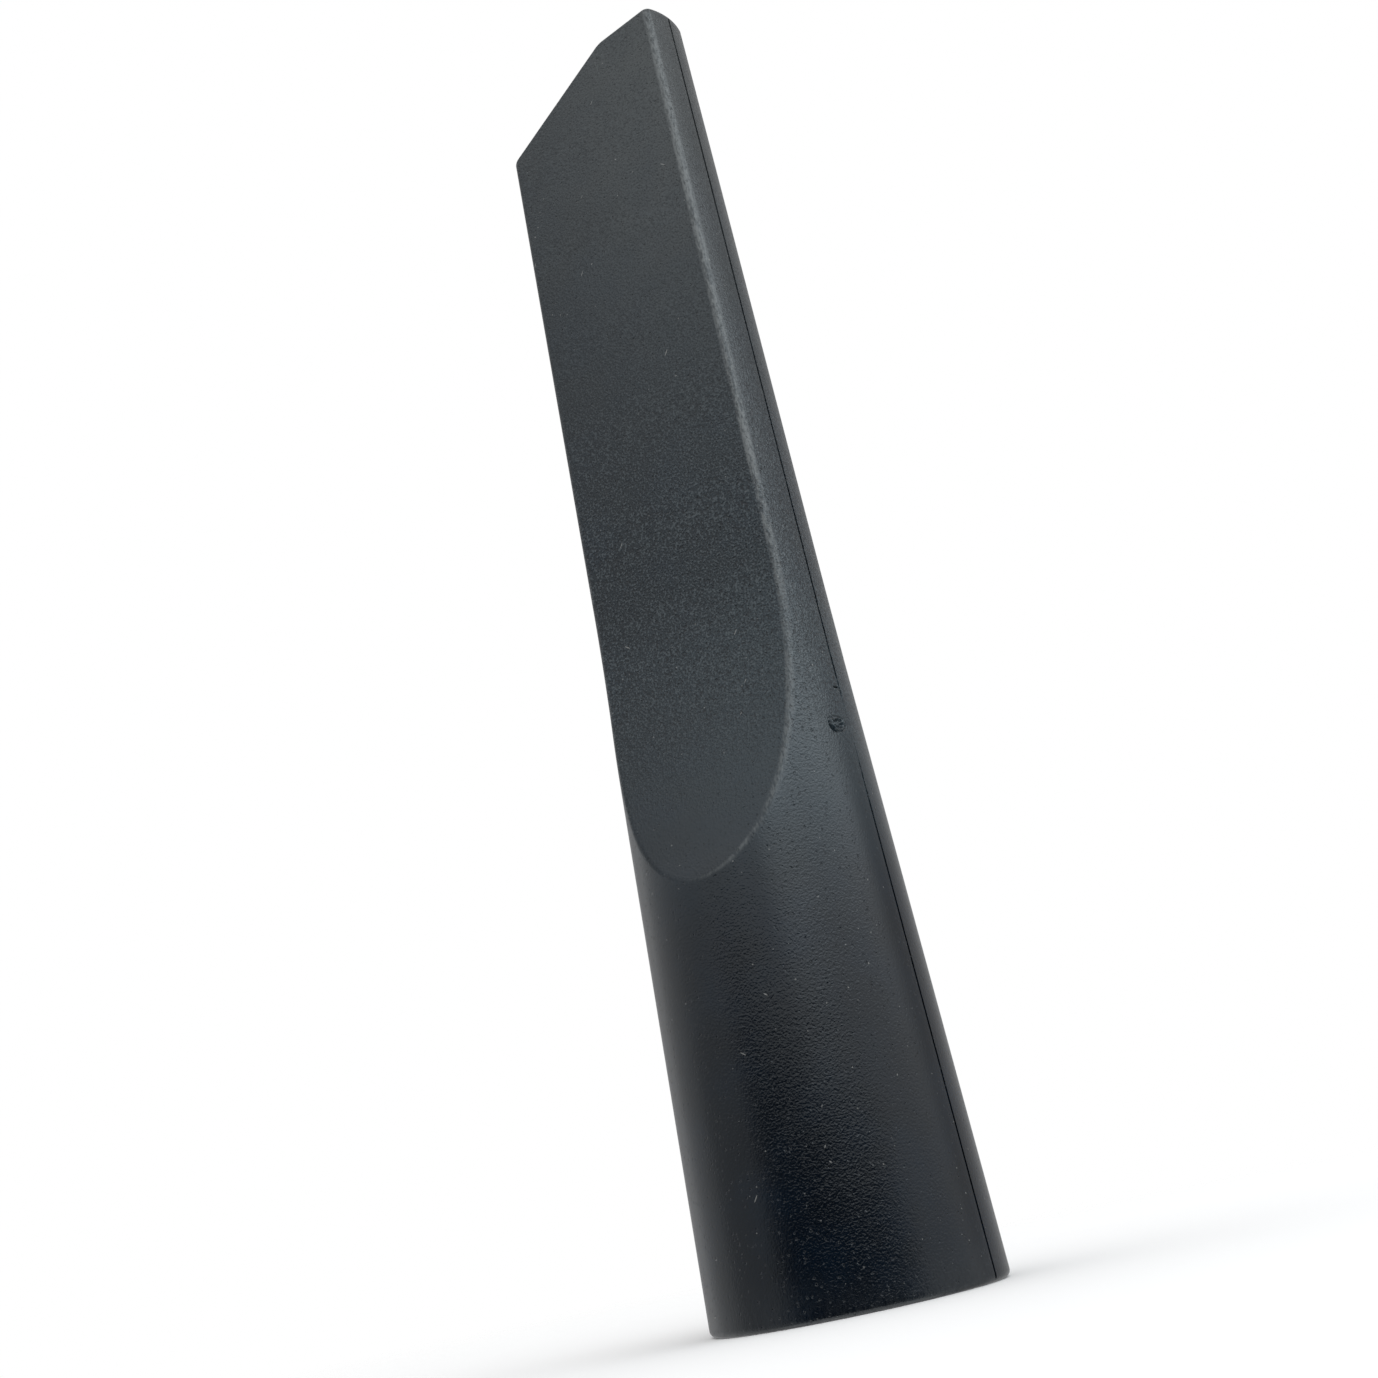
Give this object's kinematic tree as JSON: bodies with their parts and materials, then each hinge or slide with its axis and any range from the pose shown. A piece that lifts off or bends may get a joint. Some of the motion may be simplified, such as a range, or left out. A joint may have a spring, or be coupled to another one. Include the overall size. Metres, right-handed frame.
{
  "type": "vacuum crevice tool",
  "caption": "Black plastic vacuum crevice tool: a round tapered socket that ramps down on both faces into a flat hollow nozzle with a slanted mouth.",
  "frame": {"origin": "centre of the socket's rim, in the plane of the rim", "axes": "+Z along the tool's axis from the socket to the nozzle's tip; the flat faces look along -Y and +Y; the long side of the slanted mouth is at +X"},
  "size_m": [0.0379, 0.038, 0.18],
  "materials": {
    "black_plastic": "charcoal black moulded plastic with a fine spark-eroded grain"
  },
  "bodies": {
    "root": {"crevice_tool": "black_plastic"}
  },
  "joints": []
}
